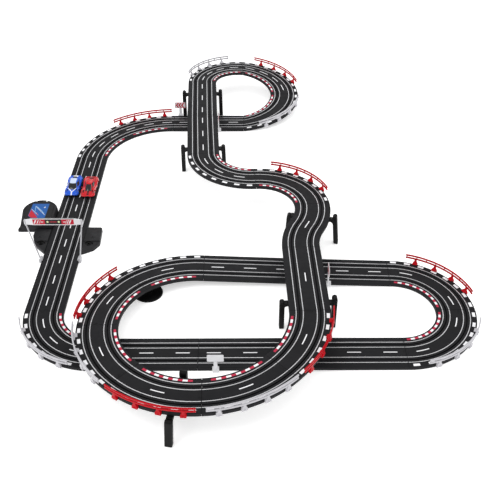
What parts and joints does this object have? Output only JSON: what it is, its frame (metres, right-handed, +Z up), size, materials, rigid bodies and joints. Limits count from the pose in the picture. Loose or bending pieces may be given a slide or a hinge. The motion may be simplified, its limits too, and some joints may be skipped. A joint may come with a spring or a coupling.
{
  "type": "slot car track set",
  "caption": "Two-lane electric slot car circuit with a bridge, loops, crash fences, start gantry, power console and a pair of cars in their slots.",
  "frame": {"origin": "on the floor under the middle of the power track", "axes": "+Z up, +Y along the power track against the racing direction, +X to the inside of the circuit"},
  "size_m": [1.422, 2.0091, 0.166],
  "materials": {
    "track_plastic": "fine-grained charcoal track plastic",
    "rail_steel": "bright plated conductor strip",
    "support_plastic": "black support plastic",
    "fence_red": "glossy red plastic",
    "fence_white": "glossy white plastic",
    "sign_white": "white plastic",
    "banner_print": "printed card banner",
    "console_plastic": "grained charcoal plastic",
    "lamp_lens": "frosted lamp lens",
    "label_print": "printed label",
    "board_green": "circuit board",
    "socket_black": "moulded black socket",
    "paint_blue": "glossy blue body",
    "paint_red": "glossy red body",
    "window_smoke": "smoked window insert",
    "chassis_black": "black chassis plastic",
    "wheel_hub": "silver hubs on a steel axle",
    "tyre_rubber": "soft black tyre",
    "motor_steel": "plated motor can",
    "pinion_brass": "brass pinion on a steel shaft",
    "guide_plastic": "hard black guide plastic",
    "braid_copper": "woven copper braid",
    "magnet_dark": "sintered magnet"
  },
  "bodies": {
    "track_layout": {"conductor_rails_floor": "rail_steel", "conductor_rails_raised": "rail_steel", "console_cover": "console_plastic", "console_label": "label_print", "console_lamps": "lamp_lens", "control_board": "board_green", "controller_sockets": "socket_black", "edge_clips": "sign_white", "edge_poles": "sign_white", "fences_red": "fence_red", "fences_white": "fence_white", "gantry_banner": "banner_print", "pillar_column": "support_plastic", "pillar_foot": "support_plastic", "power_jack": "socket_black", "sign_boards": "sign_white", "socket_cover_left": "console_plastic", "socket_cover_right": "console_plastic", "support_crossbars": "support_plastic", "support_posts": "support_plastic", "track_big_loop_curves": "track_plastic", "track_bottom_straights": "track_plastic", "track_bridge_straights": "track_plastic", "track_corner_left": "track_plastic", "track_elevated_straight": "track_plastic", "track_grid_straight": "track_plastic", "track_left_straight": "track_plastic", "track_left_turn": "track_plastic", "track_middle_straights": "track_plastic", "track_power_piece": "track_plastic", "track_right_loop_curves": "track_plastic", "track_right_turn": "track_plastic", "track_s_bend": "track_plastic", "track_top_left_curves": "track_plastic", "track_top_loop_curves": "track_plastic", "track_underpass_straight": "track_plastic"},
    "car_blue": {"car_blue_shell": "paint_blue", "car_blue_windows": "window_smoke", "car_blue_chassis": "chassis_black", "car_blue_magnet": "magnet_dark", "car_blue_motor_can": "motor_steel"},
    "car_blue_front_wheels": {"car_blue_front_axle": "wheel_hub", "car_blue_front_tyres": "tyre_rubber"},
    "car_blue_rear_wheels": {"car_blue_rear_axle": "wheel_hub", "car_blue_rear_tyres": "tyre_rubber"},
    "car_blue_motor_shaft": {"car_blue_pinion": "pinion_brass"},
    "car_blue_guide_arm": {"car_blue_guide": "guide_plastic", "car_blue_braids": "braid_copper"},
    "car_red": {"car_red_shell": "paint_red", "car_red_windows": "window_smoke", "car_red_chassis": "chassis_black", "car_red_magnet": "magnet_dark", "car_red_motor_can": "motor_steel"},
    "car_red_front_wheels": {"car_red_front_axle": "wheel_hub", "car_red_front_tyres": "tyre_rubber"},
    "car_red_rear_wheels": {"car_red_rear_axle": "wheel_hub", "car_red_rear_tyres": "tyre_rubber"},
    "car_red_motor_shaft": {"car_red_pinion": "pinion_brass"},
    "car_red_guide_arm": {"car_red_guide": "guide_plastic", "car_red_braids": "braid_copper"}
  },
  "joints": [
    {"name": "car_blue_drive", "type": "slide", "parent": "track_layout", "child": "car_blue", "axis": [0, -1, 0], "range_m": [-0.12, 0.55]},
    {"name": "car_blue_front_axle_spin", "type": "hinge", "parent": "car_blue", "child": "car_blue_front_wheels", "pos_m": [-0.0285, 0.186, 0.019], "axis": [1, 0, 0], "range_deg": [-765, 3503]},
    {"name": "car_blue_rear_axle_spin", "type": "hinge", "parent": "car_blue", "child": "car_blue_rear_wheels", "pos_m": [-0.0285, 0.248, 0.019], "axis": [1, 0, 0], "range_deg": [-765, 3503]},
    {"name": "car_blue_motor_spin", "type": "hinge", "parent": "car_blue", "child": "car_blue_motor_shaft", "pos_m": [-0.0285, 0.24125, 0.019], "axis": [0, 1, 0], "range_deg": [-2293, 10506]},
    {"name": "car_blue_guide_swivel", "type": "hinge", "parent": "car_blue", "child": "car_blue_guide_arm", "pos_m": [-0.0285, 0.176, 0.014], "axis": [0, 0, 1], "range_deg": [-4, 4]},
    {"name": "car_red_drive", "type": "slide", "parent": "track_layout", "child": "car_red", "axis": [0, -1, 0], "range_m": [-0.12, 0.55]},
    {"name": "car_red_front_axle_spin", "type": "hinge", "parent": "car_red", "child": "car_red_front_wheels", "pos_m": [0.0285, 0.179, 0.019], "axis": [1, 0, 0], "range_deg": [-765, 3503]},
    {"name": "car_red_rear_axle_spin", "type": "hinge", "parent": "car_red", "child": "car_red_rear_wheels", "pos_m": [0.0285, 0.241, 0.019], "axis": [1, 0, 0], "range_deg": [-765, 3503]},
    {"name": "car_red_motor_spin", "type": "hinge", "parent": "car_red", "child": "car_red_motor_shaft", "pos_m": [0.0285, 0.23425, 0.019], "axis": [0, 1, 0], "range_deg": [-2293, 10506]},
    {"name": "car_red_guide_swivel", "type": "hinge", "parent": "car_red", "child": "car_red_guide_arm", "pos_m": [0.0285, 0.169, 0.014], "axis": [0, 0, 1], "range_deg": [-4, 4]}
  ],
  "couplings": [
    {"joint": "car_blue_front_axle_spin", "follows": "car_blue_drive", "rad_per_m": 111.11},
    {"joint": "car_blue_rear_axle_spin", "follows": "car_blue_drive", "rad_per_m": 111.11},
    {"joint": "car_blue_motor_spin", "follows": "car_blue_drive", "rad_per_m": 333.33},
    {"joint": "car_red_front_axle_spin", "follows": "car_red_drive", "rad_per_m": 111.11},
    {"joint": "car_red_rear_axle_spin", "follows": "car_red_drive", "rad_per_m": 111.11},
    {"joint": "car_red_motor_spin", "follows": "car_red_drive", "rad_per_m": 333.33}
  ]
}
